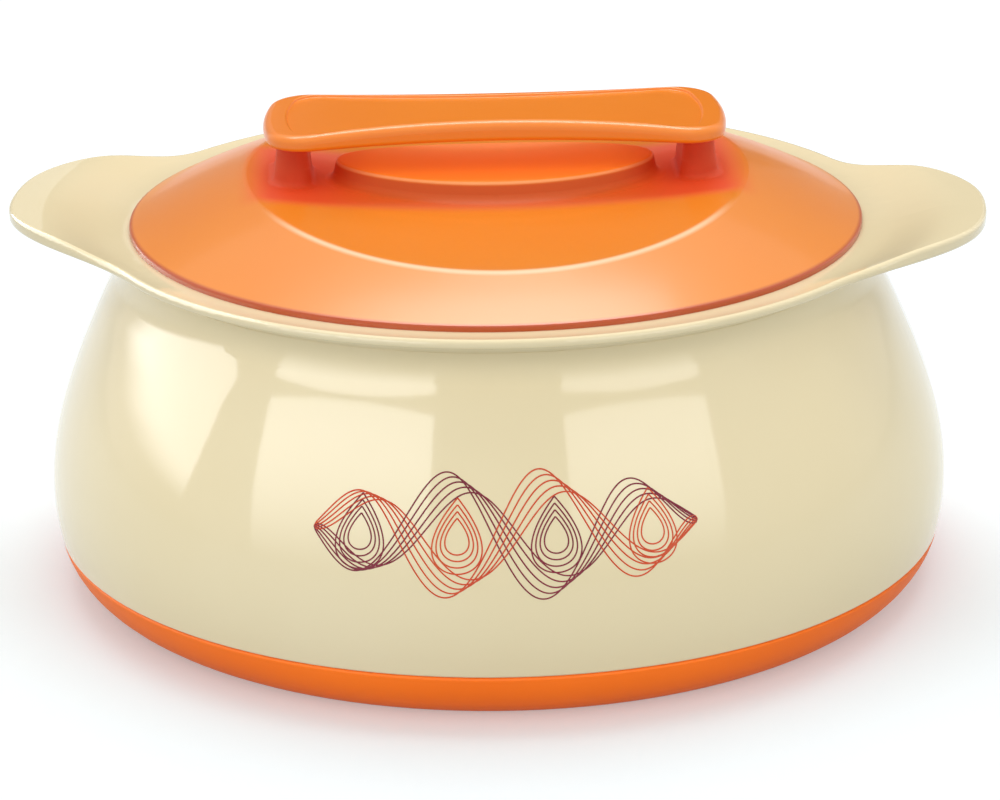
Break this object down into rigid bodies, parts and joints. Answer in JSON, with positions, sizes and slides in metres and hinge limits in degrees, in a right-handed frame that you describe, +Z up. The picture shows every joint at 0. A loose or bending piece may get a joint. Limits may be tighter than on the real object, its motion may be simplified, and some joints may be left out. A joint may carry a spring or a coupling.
{
  "type": "insulated casserole",
  "caption": "Round insulated casserole: bell-shaped cream body with side ears, steel bowl, orange base, and an orange lift-off lid with a bar handle across a scoop.",
  "frame": {"origin": "on the table under the middle of the base", "axes": "+Z up; the two ears point along +X and -X; the printed front faces -Y"},
  "size_m": [0.2936, 0.2728, 0.1421],
  "materials": {
    "printed_cream": "glossy moulded cream polypropylene with a printed pattern on the front",
    "cream": "glossy moulded cream polypropylene",
    "bowl_steel": "spun and polished stainless steel",
    "foam": "rigid polyurethane foam",
    "base_orange": "moulded orange polypropylene",
    "lid_orange": "satin moulded orange polypropylene",
    "screw_steel": "zinc-plated steel"
  },
  "bodies": {
    "body": {"outer_body": "printed_cream", "rim_collar": "cream", "inner_bowl": "bowl_steel", "body_insulation": "foam", "base_cover": "base_orange", "fill_plug": "base_orange"},
    "lid": {"lid_cover": "lid_orange", "lid_handle": "lid_orange", "handle_screws": "screw_steel", "lid_liner": "cream", "lid_insulation": "foam"}
  },
  "joints": [
    {"name": "lid_lift", "type": "slide", "parent": "body", "child": "lid", "axis": [0, 0, 1], "range_m": [0, 0.12]}
  ]
}
